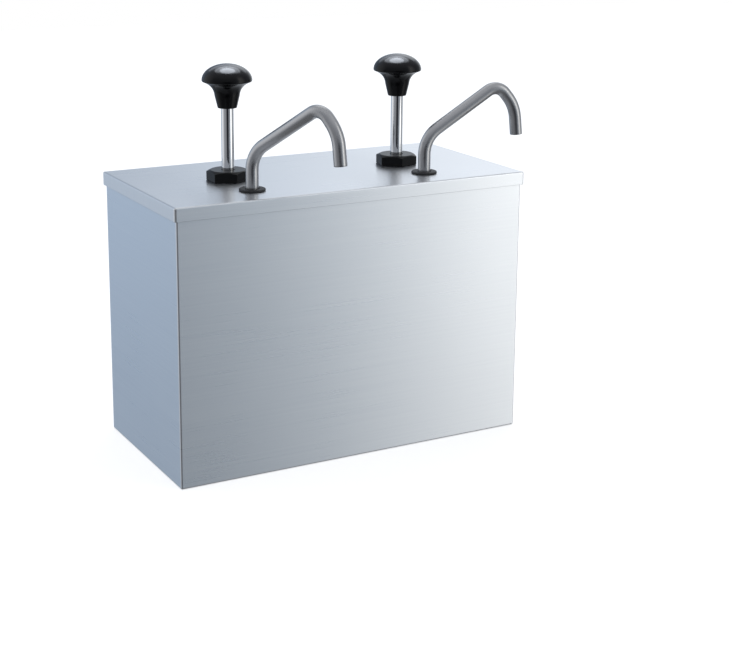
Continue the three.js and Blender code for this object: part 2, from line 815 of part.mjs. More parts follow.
function addPump(name, { side, collarTurn, spoutAzimuth }) {
  const pump = new THREE.Group();
  pump.position.set(side * pumpX, 0, lidTopHeight);
  pieces.add(pump);
  const add = (label, geometry, material, parent = pump) =>
    piece(`${name}_${label}`, geometry, material, parent);
  const turn = THREE.MathUtils.degToRad;

  const knob = add('knob', knobGeometry(), finishes.glossBlack);
  knob.position.z = knobBottom;
  add('plunger_rod', plungerRodGeometry(), finishes.brightSteel);
  add('piston', pistonGeometry(), finishes.whiteNylon);
  const sealRadius = boreRadius - sealGap - sealSection;
  add('piston_seal', roundRing(sealRadius, pistonMiddle, sealSection), finishes.blackRubber);
  add('piston_nut', nutGeometry(), finishes.turnedSteel);
  add('return_spring', springGeometry(), finishes.turnedSteel);

  const collar = add('lock_collar', collarGeometry(), finishes.mattBlack);
  collar.rotation.z = turn(collarTurn);
  const washer = pipe(cylinderRadius, neckHoleRadius, washerBottom, washerTop, hiddenSides);
  add('lid_washer', washer, finishes.blackRubber);
  add('cylinder_head', headGeometry(), finishes.turnedSteel);
  add('guide_bush', bushGeometry(), finishes.whiteNylon);
  add('cylinder', cylinderGeometry(), finishes.satinTube);

  add('intake_tube', intakeGeometry(), finishes.satinTube);
  add('intake_valve_seat', valveSeatGeometry(), finishes.turnedSteel);
  const intakeBall = add('intake_ball', ballGeometry(intakeBallRadius), finishes.brightSteel);
  intakeBall.position.z = intakeBallLevel;
  add('intake_stop_pin', stopPinGeometry(), finishes.turnedSteel);
  add('discharge_elbow', elbowGeometry(), finishes.satinTube);

  const discharge = new THREE.Group();
  discharge.position.y = -spoutOffset;
  pump.add(discharge);
  add('discharge_boot', bootGeometry(), finishes.satinTube, discharge);
  const ball = ballGeometry(dischargeBallRadius).translate(0, 0, dischargeBallLevel);
  add('discharge_ball', ball, finishes.brightSteel, discharge);
  add('spout_grommet', grommetGeometry(), finishes.blackRubber, discharge);

  const swivel = new THREE.Group();
  swivel.rotation.z = turn(spoutAzimuth);
  discharge.add(swivel);
  add('spout', spoutGeometry(), finishes.satinTube, swivel);
  add('spout_ferrule', ferruleGeometry(), finishes.turnedSteel, swivel);
  const ringRadius = bootBore - seatGap - ringSection;
  const ring = roundRing(ringRadius, ferruleMiddle, ringSection);
  add('spout_ring', ring, finishes.blackRubber, swivel);
}

piece('outer_case', caseGeometry(), finishes.brushedSheet, pieces);
piece('lid', lidGeometry(), finishes.brushedSheet, pieces);
Object.entries(pumpPoses).forEach(([name, pose]) => {
  const pan = piece(`${name}_pan`, panGeometry(), finishes.plainSheet, pieces);
  pan.position.x = pose.side * pumpX;
  addPump(name, pose);
});
console.log(`least gap between spring turns: ${Math.min(...springGaps).toFixed(2)} mm`);

export default pieces;
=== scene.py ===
"""Looks of a countertop sauce dispenser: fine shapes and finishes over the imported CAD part.

Sizes are in millimetres. Levels of the case, the lid and the pans count from the ground, and
levels of the pumps from the lid's top face. Everything that Blender gets is in metres.
"""

import json
import math

import bmesh
import bpy
from mathutils import Matrix, Vector


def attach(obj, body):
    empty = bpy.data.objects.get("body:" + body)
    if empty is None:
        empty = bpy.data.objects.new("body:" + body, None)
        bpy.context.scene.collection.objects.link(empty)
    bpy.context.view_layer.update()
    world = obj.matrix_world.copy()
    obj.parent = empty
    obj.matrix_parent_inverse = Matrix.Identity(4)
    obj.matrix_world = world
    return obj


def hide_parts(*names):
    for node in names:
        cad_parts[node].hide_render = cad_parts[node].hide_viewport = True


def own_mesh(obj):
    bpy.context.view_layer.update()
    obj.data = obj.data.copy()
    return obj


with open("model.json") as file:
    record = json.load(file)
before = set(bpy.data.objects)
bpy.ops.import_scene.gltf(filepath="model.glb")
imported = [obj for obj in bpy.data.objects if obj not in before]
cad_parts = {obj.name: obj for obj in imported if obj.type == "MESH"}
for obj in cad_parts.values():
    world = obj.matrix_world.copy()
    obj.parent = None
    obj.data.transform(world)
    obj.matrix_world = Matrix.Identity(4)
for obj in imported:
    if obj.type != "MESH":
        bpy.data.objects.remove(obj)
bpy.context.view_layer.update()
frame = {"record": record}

MM = 0.001
GUARD = 0.35  # distance of the loop that keeps a flat face flat beside a rounded edge
MERGED = 2e-6  # points closer than this, in metres, become one
ON_AXIS = 1e-4  # a turned outline's points closer than this to its axis lie on it
SHARP = 34.0  # edges between faces that turn by more degrees than this stay sharp
STRAIGHT = 176.0  # corners that open wider than this, in degrees, aren't rounded
ARC_STEP = 15.0  # degrees, at most, between the points of a rounded corner
SIDE_SHARE = 0.46  # share of a side, at most, that one rounding takes up
NOISE_LOW, NOISE_HIGH = 0.3, 0.7  # most of a noise pattern's values lie between these

# Gaps between seated or screwed pieces, and round the sliding rod
seat_gap, slide_gap = 0.3, 0.35

# Lid, case and pans
lid_top = 276.0
lid_x, lid_y, lid_sheet, lid_skirt, lid_fold, lid_corner = 193.0, 97.0, 1.0, 13.5, 1.6, 2.2
case_x, case_y, case_sheet, case_fold, case_top = 190.5, 94.5, 0.9, 1.6, 274.7
pan_x, pan_y, pan_sheet, pan_rim, pan_corner = 92.1, 92.6, 0.8, 6.0, 11.2
pan_bottom, pan_top, pan_lip_bend = 1.2, 263.0, 1.4
pump_x = 96.5

# Plunger
rod_radius, spigot_radius, rod_end, stroke = 6.35, 4.0, -36.4, 58.0
knob_radius, knob_height, knob_dome = 24.9, 43.65, 16.27
knob_lip, knob_lip_turn, knob_foot_radius, knob_foot_round = 1.54, 74.0, 9.5, 0.8
knob_flare = [(0.308, 0.856), (0.218, 0.627), (0.195, 0.485)]  # shares of the way out and up
knob_socket_depth, knob_bottom = 20.0, 72.6
piston_top, piston_bottom, nut_top, nut_bottom, nut_flats = -14.6, -28.6, -28.9, -34.9, 13.0
piston_middle = (piston_top + piston_bottom) / 2
piston_radius, groove_floor, groove_half = 17.05, 14.5, 1.5
seal_radius, seal_section = 16.0, 1.2

# Lock collar, head, bush and washer
collar_flats, collar_base, collar_top, collar_pocket_top = 38.0, 0.3, 10.9, 8.4
collar_chamfer, collar_chamfer_reach, collar_corner_round = 2.2, 4.4, 1.4
head_neck, head_top, head_flange_top, head_flange_bottom, head_bottom = 12.5, 6.3, -3.1, -6.1, -14.1
bush_radius, bush_top, bush_flange_bottom = 9.5, 8.1, 6.6
washer_top, washer_bottom, neck_hole = -1.3, -2.8, 12.8

# Cylinder, intake and valve
cylinder_radius, cylinder_bore, cylinder_top, cylinder_bottom = 19.0, 17.4, -6.4, -116.0
cylinder_wall, cylinder_cone = 1.6, 8.0
# What a point's radius is more than its level on the cylinder's inner cone
cone_shift = cylinder_radius - cylinder_wall * math.sqrt(2) - cylinder_bottom - cylinder_cone
spring_radius, spring_wire, spring_turns, spring_closed = 15.0, 1.8, 8, 1.3
intake_radius, intake_bore, intake_top, intake_bottom = 10.25, 8.75, -116.3, -262.0
valve_radius, valve_hole, valve_mouth, valve_top, valve_height = 8.45, 4.64, 6.54, -138.3, 8.0
valve_edge, intake_ball, intake_ball_level = -139.63, 6.35, -135.0
pin_radius, pin_half, pin_level = 1.2, 8.28, -123.15

# Discharge and spout
spout_offset, port_level = 57.0, -99.0
elbow_radius, elbow_bore, elbow_bend = 6.75, 5.15, 22.04
boot_radius, boot_bore, boot_bottom, boot_seat, boot_top = 14.0, 12.0, -73.96, -71.96, -3.1
discharge_ball, discharge_ball_level = 7.055, -66.84
ferrule_radius, ferrule_bottom, ferrule_top, ferrule_step = 11.4, -54.48, -34.48, 6.0
ferrule_middle, ferrule_slot = (ferrule_bottom + ferrule_top) / 2, 4.0
ring_radius, ring_section = 10.55, 1.15
spout_radius, spout_bore, spout_bottom, spout_rise = 6.35, 5.15, -48.18, 36.4
spout_runs = [(95.6, 33.2), (30.6, -50.5), (30.0, -84.3)]  # length, degrees above the horizontal
spout_bends = (30.2, 14.2, 40.0)
grommet_radius, grommet_bore, grommet_top, grommet_round = 13.0, 6.65, 2.3, 0.9
grommet_waist, grommet_lip_top, grommet_bottom, spout_hole = 11.4, -1.3, -2.8, 11.7

pumps = {
    "left": {"side": -1, "collar_turn": 0.0, "spout_azimuth": -62.0},
    "right": {"side": 1, "collar_turn": -13.5, "spout_azimuth": -9.0},
}


# Outlines in a plane

def arc(x, y, radius, start, end, steps, tall=None):
    """Points along an arc between two angles in degrees, round or oval."""
    tall = radius if tall is None else tall
    angles = [math.radians(start + (end - start) * i / steps) for i in range(steps + 1)]
    return [(x + radius * math.cos(a), y + tall * math.sin(a)) for a in angles]


def fold_arc(inset, level, radius, steps, rise=1):
    """Points (inset, level) round a fold, from its flat side to its wall. The wall goes up or down."""
    angles = [math.radians(90 - 90 * k / steps) for k in range(steps + 1)]
    climb = rise * radius
    return [(inset + radius * (1 - math.cos(a)), level + climb * (1 - math.sin(a))) for a in angles]


def softened(corners, closed=True, arc_steps=None):
    """An outline whose corners (x, y, rounding) are rounded, with a loop kept beside each arc."""
    points = []
    count = len(corners)
    for i, corner in enumerate(corners):
        here = Vector(corner[:2])
        rounding = corner[2] if len(corner) > 2 else 0.0
        inner = closed or 0 < i < count - 1
        if rounding <= 0 or not inner:
            points.append(tuple(here))
            continue
        before = Vector(corners[i - 1][:2]) - here
        after = Vector(corners[(i + 1) % count][:2]) - here
        a, b = before.normalized(), after.normalized()
        opening = a.angle(b)
        if arc_steps is None and opening > math.radians(STRAIGHT):
            points.append(tuple(here))
            continue
        room = SIDE_SHARE * min(before.length, after.length)
        reach = min(rounding / math.tan(opening / 2), room)
        radius = reach * math.tan(opening / 2)
        centre = here + (a + b).normalized() * (radius / math.sin(opening / 2))
        start, end = here + a * reach - centre, here + b * reach - centre
        turn = start.angle_signed(end)
        steps = arc_steps or max(3, math.ceil(abs(math.degrees(turn)) / ARC_STEP))
        guard = min(GUARD, 0.3 * reach + 0.05)
        points.append(tuple(here + a * (reach + guard)))
        first = math.atan2(start.y, start.x)
        for k in range(steps + 1):
            angle = first - turn * k / steps
            points.append((centre.x + radius * math.cos(angle), centre.y + radius * math.sin(angle)))
        points.append(tuple(here + b * (reach + guard)))
    return points


# Meshes

def added(name, data):
    """A new object in the scene."""
    new = bpy.data.objects.new(name, data)
    bpy.context.scene.collection.objects.link(new)
    return new


def shaded(mesh, sharp=SHARP):
    """The mesh, smooth apart from its sharp edges."""
    mesh.polygons.foreach_set("use_smooth", [True] * len(mesh.polygons))
    mesh.set_sharp_from_angle(angle=math.radians(sharp))
    return mesh


def finished_mesh(name, points, faces, sharp=SHARP):
    """A closed mesh in metres, faces outwards, smooth apart from its sharp edges."""
    mesh = bpy.data.meshes.new(name)
    mesh.from_pydata([tuple(c * MM for c in p) for p in points], [], faces)
    work = bmesh.new()
    work.from_mesh(mesh)
    bmesh.ops.remove_doubles(work, verts=work.verts, dist=MERGED)
    bmesh.ops.recalc_face_normals(work, faces=work.faces)
    work.to_mesh(mesh)
    work.free()
    return shaded(mesh, sharp)


def skinned(rings, closed=False, capped=False):
    """Points and faces of a skin over rings of equal length. A ring of one point is a pole."""
    points, starts, faces = [], [], []
    for ring in rings:
        starts.append(len(points))
        points.extend(ring)
    pairs = list(zip(range(len(rings) - 1), range(1, len(rings))))
    if closed:
        pairs.append((len(rings) - 1, 0))
    for i, j in pairs:
        a, b = starts[i], starts[j]
        m, n = len(rings[i]), len(rings[j])
        for k in range(max(m, n)):
            following = (k + 1) % max(m, n)
            around = (a + k % m, a + following % m, b + following % n, b + k % n)
            face = list(dict.fromkeys(around))
            if len(face) > 2:
                faces.append(face)
    if capped:
        faces.append([starts[0] + k for k in reversed(range(len(rings[0])))])
        faces.append([starts[-1] + k for k in range(len(rings[-1]))])
    return points, faces


def circle(centre, u, v, radius, sides):
    """Points round a circle whose plane holds the unit vectors u and v."""
    turns = [2 * math.pi * k / sides for k in range(sides)]
    return [centre + u * (radius * math.cos(t)) + v * (radius * math.sin(t)) for t in turns]


def turned(name, outline, sides=96):
    """A turned piece: an outline of (radius, height) revolved about +Z."""
    rings = []
    for radius, height in outline:
        centre = Vector((0, 0, height))
        if radius < ON_AXIS:
            rings.append([centre])
        else:
            rings.append(circle(centre, Vector((1, 0, 0)), Vector((0, 1, 0)), radius, sides))
    closed = len(rings[0]) > 1 or len(rings[-1]) > 1
    return finished_mesh(name, *skinned(rings, closed=closed))


def spun(name, sections, sharp):
    """A closed ring of upright sections (degrees, outline) that stand side by side about +Z."""
    placed = []
    for degrees, outline in sections:
        turn = math.radians(degrees)
        placed.append([(r * math.cos(turn), r * math.sin(turn), z) for r, z in outline])
    return finished_mesh(name, *skinned(list(zip(*placed)), closed=True), sharp=sharp)


def ball(name, radius, level):
    """A ground ball on the pump's axis."""
    return turned(name, [(max(r, 0.0), z) for r, z in arc(0, level, radius, -90, 90, 32)], 64)


def round_ring(name, radius, level, section):
    """A rubber ring of round section."""
    return turned(name, arc(radius, level, section, 0, 360, 16)[:-1], 64)


def bent_line(corners, bends, step=3.0):
    """Stations (point, direction) along straight runs and round bends."""
    corners = [Vector(c) for c in corners]
    first = (corners[1] - corners[0]).normalized()
    last = (corners[-1] - corners[-2]).normalized()
    stations = [(corners[0], first)]
    for i, radius in enumerate(bends):
        before, corner, after = corners[i:i + 3]
        arriving = (corner - before).normalized()
        leaving = (after - corner).normalized()
        turn = arriving.angle(leaving)
        reach = radius * math.tan(turn / 2)
        inward = (leaving - arriving * leaving.dot(arriving)).normalized()
        start = corner - arriving * reach
        centre = start + inward * radius
        steps = math.ceil(math.degrees(turn) / step)
        stations.append((start - arriving * GUARD * 2, arriving))
        for k in range(steps + 1):
            angle = turn * k / steps
            place = centre - inward * (radius * math.cos(angle)) + arriving * (radius * math.sin(angle))
            stations.append((place, arriving * math.cos(angle) + inward * math.sin(angle)))
        stations.append((corner + leaving * (reach + GUARD * 2), leaving))
    stations.append((corners[-1], last))
    return stations


def tube_rings(stations, flat_normal, outer, bore, sides, edge=0.35):
    """Rings of a bent tube, outside forwards and bore backwards, with both ends rounded."""
    side = Vector(flat_normal).normalized()
    wall = outer - bore

    def ring(place, direction, radius):
        return circle(place, direction.cross(side).normalized(), side, radius, sides)

    def end_rings(place, direction, sign):
        spots = [(outer, 0), (outer - edge * 0.3, 0.7), (outer - edge, 1),
                 (bore + edge, 1), (bore + edge * 0.3, 0.7), (bore, 0)]
        order = spots if sign > 0 else spots[::-1]
        return [ring(place - direction * sign * edge * (1 - d), direction, r) for r, d in order]

    (first, first_way), (last, last_way) = stations[0], stations[-1]
    middle = stations[1:-1]
    near = (first + first_way * (wall + GUARD), first_way)
    far = (last - last_way * (wall + GUARD), last_way)
    path = [near, *middle, far]
    rings = [ring(p, d, outer) for p, d in path]
    rings += end_rings(last, last_way, 1)
    rings += [ring(p, d, bore) for p, d in reversed(path)]
    rings += end_rings(first, first_way, -1)
    return rings


def rounded_rectangle(x, y, radius, level, steps):
    """A ring of points round a rectangle with rounded corners, with a loop beside each arc."""
    radius = max(radius, 0.02)
    points = []
    for sx, sy, start in ((1, 1, 0), (-1, 1, 90), (-1, -1, 180), (1, -1, 270)):
        cx, cy = sx * (x - radius), sy * (y - radius)
        bend = arc(cx, cy, radius, start, start + 90, steps)
        (ax, ay), (bx, by) = bend[0], bend[-1]
        lead, tail = math.radians(start - 90), math.radians(start + 180)
        points.append((ax + GUARD * math.cos(lead), ay + GUARD * math.sin(lead), level))
        points.extend((px, py, level) for px, py in bend)
        points.append((bx + GUARD * math.cos(tail), by + GUARD * math.sin(tail), level))
    return points


def pressed(name, x, y, corner, profile, steps=8):
    """A sheet piece: a profile of (inset, level) carried round a rectangle, flat at both ends."""
    rings = [rounded_rectangle(x - i, y - i, corner - i, level, steps) for i, level in profile]
    return finished_mesh(name, *skinned(rings, capped=True))


def cut_by(mesh, *tools):
    """The mesh less the tools' solids."""
    target = added("cutting", mesh)
    helpers = [added("cutter", tool) for tool in tools]
    for helper in helpers:
        step = target.modifiers.new("cut", "BOOLEAN")
        step.operation = "DIFFERENCE"
        step.solver = "EXACT"
        step.object = helper
    bpy.context.view_layer.update()
    graph = bpy.context.evaluated_depsgraph_get()
    result = bpy.data.meshes.new_from_object(target.evaluated_get(graph))
    result.name = mesh.name
    for extra in (target, *helpers):
        bpy.data.objects.remove(extra)
    return shaded(result)


def plug(radius, low, high, sides=96, placed=None):
    """A plain round bar that only cuts holes."""
    mesh = turned("plug", [(0, low), (radius, low), (radius, high), (0, high)], sides)
    if placed is not None:
        mesh.transform(placed)
    return mesh


def bar(low, high):
    """A plain block that only cuts slots."""
    xs, ys, zs = zip(low, high)
    points = [(x, y, z) for z in zs for y in ys for x in xs]
    faces = [(0, 1, 3, 2), (4, 5, 7, 6), (0, 1, 5, 4), (2, 3, 7, 6), (0, 2, 6, 4), (1, 3, 7, 5)]
    return finished_mesh("bar", points, faces)


# Case, lid and pans

def case_mesh():
    fold, sheet, edge = case_fold, case_sheet, 0.28
    inner = fold - sheet
    outside = [(fold + GUARD * 2, 0), *fold_arc(0, 0, fold, 6)]
    rim = softened([(0, fold + GUARD), (0, case_top, edge), (sheet, case_top, edge),
                    (sheet, sheet + inner + GUARD)], closed=False)
    inside = [*reversed(fold_arc(sheet, sheet, inner, 6)), (fold + GUARD * 2, sheet)]
    return pressed("case", case_x, case_y, fold, [*outside, *rim, *inside])


def lid_mesh():
    fold, sheet, edge, bottom = lid_fold, lid_sheet, 0.3, lid_top - lid_skirt
    wall_top = lid_top - fold - GUARD
    outside = [(fold + GUARD * 2, lid_top), *fold_arc(0, lid_top, fold, 6, -1)]
    skirt = softened([(0, wall_top), (0, bottom, edge), (sheet, bottom, edge), (sheet, wall_top)],
                     closed=False)
    inside = [*reversed(fold_arc(sheet, lid_top - sheet, fold - sheet, 6, -1)),
              (fold + GUARD * 2, lid_top - sheet)]
    shell = pressed("lid", lid_x, lid_y, lid_corner, [*outside, *skirt, *inside])
    past = 4  # how far the cutters stand out of the sheet
    holes = []
    for pump in pumps.values():
        for radius, y in ((neck_hole, 0), (spout_hole, -spout_offset)):
            place = Matrix.Translation((pump["side"] * pump_x * MM, y * MM, 0))
            holes.append(plug(radius, lid_top - past, lid_top + past, placed=place))
    return cut_by(shell, *holes)


def pan_mesh():
    sheet, corner, bend, edge = pan_sheet, pan_corner, pan_lip_bend, 0.25
    outer = corner + sheet
    wall_out, wall_in, wall_foot = pan_rim, pan_rim + sheet, pan_bottom + outer + 1
    profile = [(wall_out + outer + GUARD * 2, pan_bottom), *fold_arc(wall_out, pan_bottom, outer, 9)]
    profile += softened([
        (wall_out, wall_foot), (wall_out, pan_top - sheet, bend), (0, pan_top - sheet, edge),
        (0, pan_top, edge), (wall_in, pan_top, bend + sheet), (wall_in, wall_foot),
    ], closed=False)
    profile += reversed(fold_arc(wall_in, pan_bottom + sheet, corner, 9))
    profile.append((wall_in + corner + GUARD * 2, pan_bottom + sheet))
    return pressed("pan", pan_x, pan_y, outer + pan_rim, profile, steps=12)


# One pump's turned pieces

def knob_mesh():
    """A mushroom knob: socket, foot, flared underside, rolled lip and oval dome."""
    rim = knob_height - knob_dome
    lip = arc(knob_radius - knob_lip, rim, knob_lip, -knob_lip_turn, 0, 8)
    spread = knob_radius - knob_foot_radius
    start = Vector(lip[0])
    ends = [Vector((knob_foot_radius + spread * out, start.y * up)) for out, up in knob_flare]
    flare, flare_steps = [], 32
    for i in range(flare_steps + 1):
        t = i / flare_steps
        weights = ((1 - t) ** 3, 3 * t * (1 - t) ** 2, 3 * t * t * (1 - t), t ** 3)
        flare.append(tuple(sum((w * p for w, p in zip(weights, [start, *ends])), Vector((0, 0)))))
    end = Vector(flare[-1])
    foot = Vector((knob_foot_radius, 0))
    way = (end - foot).normalized()
    socket, socket_end = rod_radius + seat_gap, knob_socket_depth + seat_gap
    base = softened([(socket, knob_socket_depth), (socket, 0, 0.35), (foot.x, 0, knob_foot_round),
                     tuple(end)], closed=False)
    slope = [tuple(foot + way * (end - foot).length * s) for s in (0.35, 0.6, 0.85)]
    dome = arc(0, rim, knob_radius, 0, 90, 40, knob_dome)
    outline = [(0, socket_end), (socket, socket_end), *base[1:-1], *slope, *reversed(flare), *lip[1:]]
    outline += [*dome[1:-1], (0, knob_height)]
    return turned("knob", [(r, z + knob_bottom) for r, z in outline], 128)


def rod_mesh():
    top = knob_bottom + knob_socket_depth
    shoulder = piston_top + seat_gap
    outline = softened([
        (0, rod_end), (spigot_radius, rod_end, 0.5), (spigot_radius, shoulder),
        (rod_radius, shoulder, 0.5), (rod_radius, top, 0.4), (0, top),
    ], closed=False)
    return turned("plunger_rod", outline)


def collar_mesh():
    """A hexagonal nut: at each angle a section, out to the hexagon with rounded corners."""
    reach = (collar_flats - 2 * collar_corner_round) / math.sqrt(3)
    flat_radius = collar_flats / math.sqrt(3) - collar_chamfer_reach
    fall = collar_chamfer / collar_chamfer_reach
    bore, pocket = rod_radius + slide_gap, head_neck + seat_gap
    half_side = math.radians(30)
    rounded_turn = math.atan2(
        collar_corner_round * math.sin(half_side),
        reach + collar_corner_round * math.cos(half_side),
    )
    # Every 0.8 degrees on both sides of each corner, as far as the middles of the flats
    angles = set()
    for corner in range(90, 450, 60):
        for first, count in ((-29.99, 31), (-5.2, 14), (5.99, 31)):
            angles.update(round(corner + first + 0.8 * i, 3) for i in range(count))
    sections = []
    for degrees in sorted(angles):
        turn = math.radians((degrees - 60) % 60 - 30)
        if abs(turn) < rounded_turn:
            within = collar_corner_round ** 2 - (reach * math.sin(turn)) ** 2
            out = reach * math.cos(turn) + math.sqrt(max(within, 0))
        else:
            out = collar_flats / 2 / math.cos(half_side - abs(turn))
        level = collar_top - (out - flat_radius) * fall
        outline = softened([
            (bore, collar_pocket_top), (bore, collar_top, 0.5), (flat_radius, collar_top, 1.2),
            (out, level, 0.55), (out, collar_base, 0.3), (pocket, collar_base),
            (pocket, collar_pocket_top),
        ], arc_steps=5)
        sections.append((degrees, outline))
    return spun("lock_collar", sections, 50)


def washer_mesh():
    outline = [
        (cylinder_radius, washer_bottom, 0.3), (cylinder_radius, washer_top, 0.3),
        (neck_hole, washer_top, 0.3), (neck_hole, washer_bottom, 0.3),
    ]
    return turned("lid_washer", softened(outline))


def threaded(radius, low, high, pitch=1.5, depth=0.28):
    """Corners of a screwed wall seen from the side, as close rings with rounded crests."""
    count = int((high - low) // pitch)
    start = (low + high - count * pitch) / 2
    points = []
    for k in range(count):
        base = start + k * pitch
        for share, drawn in ((0.0, 0), (0.25, 0.15), (0.5, 1), (0.75, 0.15)):
            points.append((radius - depth * drawn, base + pitch * share))
    return points


def head_mesh():
    bore, skirt = bush_radius + seat_gap, cylinder_bore - seat_gap
    skirt_wall = threaded(skirt, head_bottom + 0.6, head_flange_bottom - 0.4)
    neck_wall = threaded(head_neck, head_flange_top + 3.4, head_top - 0.4)
    low = softened([(bore, head_bottom, 0.3), (skirt, head_bottom, 0.4), skirt_wall[0]], closed=False)
    flange = softened([
        skirt_wall[-1], (skirt, head_flange_bottom), (cylinder_radius, head_flange_bottom, 0.4),
        (cylinder_radius, head_flange_top, 0.4), (head_neck, head_flange_top), neck_wall[0],
    ], closed=False)
    top = softened([neck_wall[-1], (head_neck, head_top, 0.3), (bore, head_top, 0.3), (bore, 0)],
                   closed=False)
    outline = [*low[1:-1], *skirt_wall, *flange[1:-1], *neck_wall, *top[1:]]
    return turned("cylinder_head", outline)


def bush_mesh():
    bore, flange = rod_radius + slide_gap, head_neck - seat_gap
    outline = [
        (bore, head_bottom, 0.5), (bush_radius, head_bottom, 0.5), (bush_radius, bush_flange_bottom),
        (flange, bush_flange_bottom, 0.3), (flange, bush_top, 0.4), (bore, bush_top, 0.5),
    ]
    return turned("guide_bush", softened(outline))


def cylinder_mesh():
    floor = cylinder_bottom + cylinder_wall
    past = 3  # how far the cutter stands out of the wall
    outline = [
        (intake_bore, cylinder_bottom, 0.3), (intake_radius + 0.75, cylinder_bottom, 0.8),
        (cylinder_radius, cylinder_bottom + cylinder_cone, 2.4), (cylinder_radius, cylinder_top, 0.4),
        (cylinder_bore, cylinder_top, 0.4), (cylinder_bore, cylinder_bore - cone_shift, 1.6),
        (floor + cone_shift, floor, 0.6), (intake_bore, floor, 0.3),
    ]
    port = plug(elbow_bore, 0, cylinder_radius + past, 64)
    port.transform(Matrix.Rotation(math.radians(90), 4, "X"))
    port.transform(Matrix.Translation((0, 0, port_level * MM)))
    return cut_by(turned("cylinder", softened(outline)), port)


def piston_mesh():
    bore = spigot_radius + seat_gap
    low, high = piston_middle - groove_half, piston_middle + groove_half
    outline = [
        (bore, piston_bottom, 0.3), (piston_radius, piston_bottom, 0.8), (piston_radius, low, 0.25),
        (groove_floor, low, 0.3), (groove_floor, high, 0.3), (piston_radius, high, 0.25),
        (piston_radius, piston_top, 0.8), (bore, piston_top, 0.3),
    ]
    return turned("piston", softened(outline))


def nut_mesh():
    """A chamfered hexagonal nut on the rod's end."""
    bore, bevel = spigot_radius + seat_gap, 0.5
    face, corner = nut_flats / 2 * 1.02, nut_flats / math.sqrt(3) - 0.25
    slope, least_drop = 0.45, 0.02  # of the chamfer outside the round end face
    sections = []
    for degrees in range(0, 360, 3):
        turn = math.radians((degrees + 30) % 60 - 30)
        out = min(nut_flats / 2 / math.cos(math.radians(30) - abs(turn)), corner)
        drop = max(least_drop, (out - face) * slope)
        sections.append((degrees, [
            (bore, nut_top - bevel), (bore + bevel, nut_top), (face - 0.3, nut_top),
            (out, nut_top - drop), (out, nut_bottom + drop), (face - 0.3, nut_bottom),
            (bore + bevel, nut_bottom), (bore, nut_bottom + bevel),
        ]))
    return spun("piston_nut", sections, 25)


def spring_mesh():
    """A compression spring with closed end turns."""
    wire = spring_wire / 2
    bottom = spring_radius + seat_gap - cone_shift + wire
    top = piston_bottom - seat_gap - wire
    coil, closed = spring_radius - wire, spring_wire * spring_closed
    end = 1 / spring_turns

    def place(t):
        spin = 2 * math.pi * spring_turns * t
        open_share = min(max((t - end) / (1 - 2 * end), 0), 1)
        ends = min(t / end, 1) + max((t - 1) / end + 1, 0)
        height = bottom + (top - bottom - 2 * closed) * open_share + closed * ends
        return Vector((coil * math.cos(spin), coil * math.sin(spin), height))

    steps, nudge = 32 * spring_turns, 1e-4
    rings = []
    for i in range(steps + 1):
        t = i / steps
        here = place(t)
        direction = (place(min(t + nudge, 1)) - place(max(t - nudge, 0))).normalized()
        outward = Vector((here.x, here.y, 0)).normalized()
        rings.append(circle(here, outward, direction.cross(outward), wire, 12))
    return finished_mesh("return_spring", *skinned(rings, capped=True))


def intake_mesh():
    outline = [
        (intake_bore, intake_bottom, 0.3), (intake_radius - 0.75, intake_bottom, 0.3),
        (intake_radius, intake_bottom + 2, 0.8), (intake_radius, intake_top, 0.3),
        (intake_bore, intake_top, 0.3),
    ]
    return turned("intake_tube", softened(outline))


def valve_seat_mesh():
    outline = [
        (valve_hole, valve_top - valve_height, 0.3), (valve_radius, valve_top - valve_height, 0.4),
        (valve_radius, valve_top, 0.3), (valve_mouth, valve_top, 0.2), (valve_hole, valve_edge),
    ]
    return turned("intake_valve_seat", softened(outline))


def stop_pin_mesh():
    outline = softened([(0, -pin_half), (pin_radius, -pin_half, 0.35), (pin_radius, pin_half, 0.35),
                        (0, pin_half)], closed=False)
    mesh = turned("intake_stop_pin", outline, 32)
    mesh.transform(Matrix.Rotation(math.radians(90), 4, "Y"))
    mesh.transform(Matrix.Translation((0, 0, pin_level * MM)))
    return mesh


def elbow_mesh():
    """A bent tube whose end meets the cylinder, with the weld's bead round it."""
    corners = [
        (0, -spout_offset, boot_bottom - seat_gap), (0, -spout_offset, port_level),
        (0, -cylinder_bore, port_level),
    ]
    rings = tube_rings(bent_line(corners, [elbow_bend]), (1, 0, 0), elbow_radius, elbow_bore, 64)
    wall = cylinder_radius + seat_gap
    bead_steps, bead_size, bead_ripple, bead_drop = 72, 0.85, 0.06, 0.25

    def coped(point):
        x, y, z = point
        limit = -math.sqrt(wall ** 2 - x ** 2)
        return Vector((x, min(y, limit), z))

    points, faces = skinned([[coped(p) for p in ring] for ring in rings], closed=True)
    bead = []
    for k in range(bead_steps):
        spin = 2 * math.pi * k / bead_steps
        x, z = elbow_radius * math.cos(spin), elbow_radius * math.sin(spin)
        middle = Vector((x, -math.sqrt(wall ** 2 - x ** 2) - bead_drop, port_level + z))
        outward = Vector((math.cos(spin), 0, math.sin(spin)))
        size = bead_size + bead_ripple * math.cos(12 * spin)
        bead.append(circle(middle, outward, Vector((0, -1, 0)), size, 12))
    more, extra = skinned(bead, closed=True)
    base = len(points)
    faces += [[base + i for i in face] for face in extra]
    return finished_mesh("discharge_elbow", [*points, *more], faces)


def boot_mesh():
    cone = boot_seat + (boot_bore - elbow_bore) * 0.7
    outline = [
        (elbow_bore, boot_bottom), (elbow_radius + 0.75, boot_bottom, 0.6),
        (boot_radius, boot_bottom + 6, 2.0), (boot_radius, boot_top, 0.5), (boot_bore, boot_top, 0.5),
        (boot_bore, cone, 1.0), (elbow_bore, boot_seat),
    ]
    return turned("discharge_boot", softened(outline))


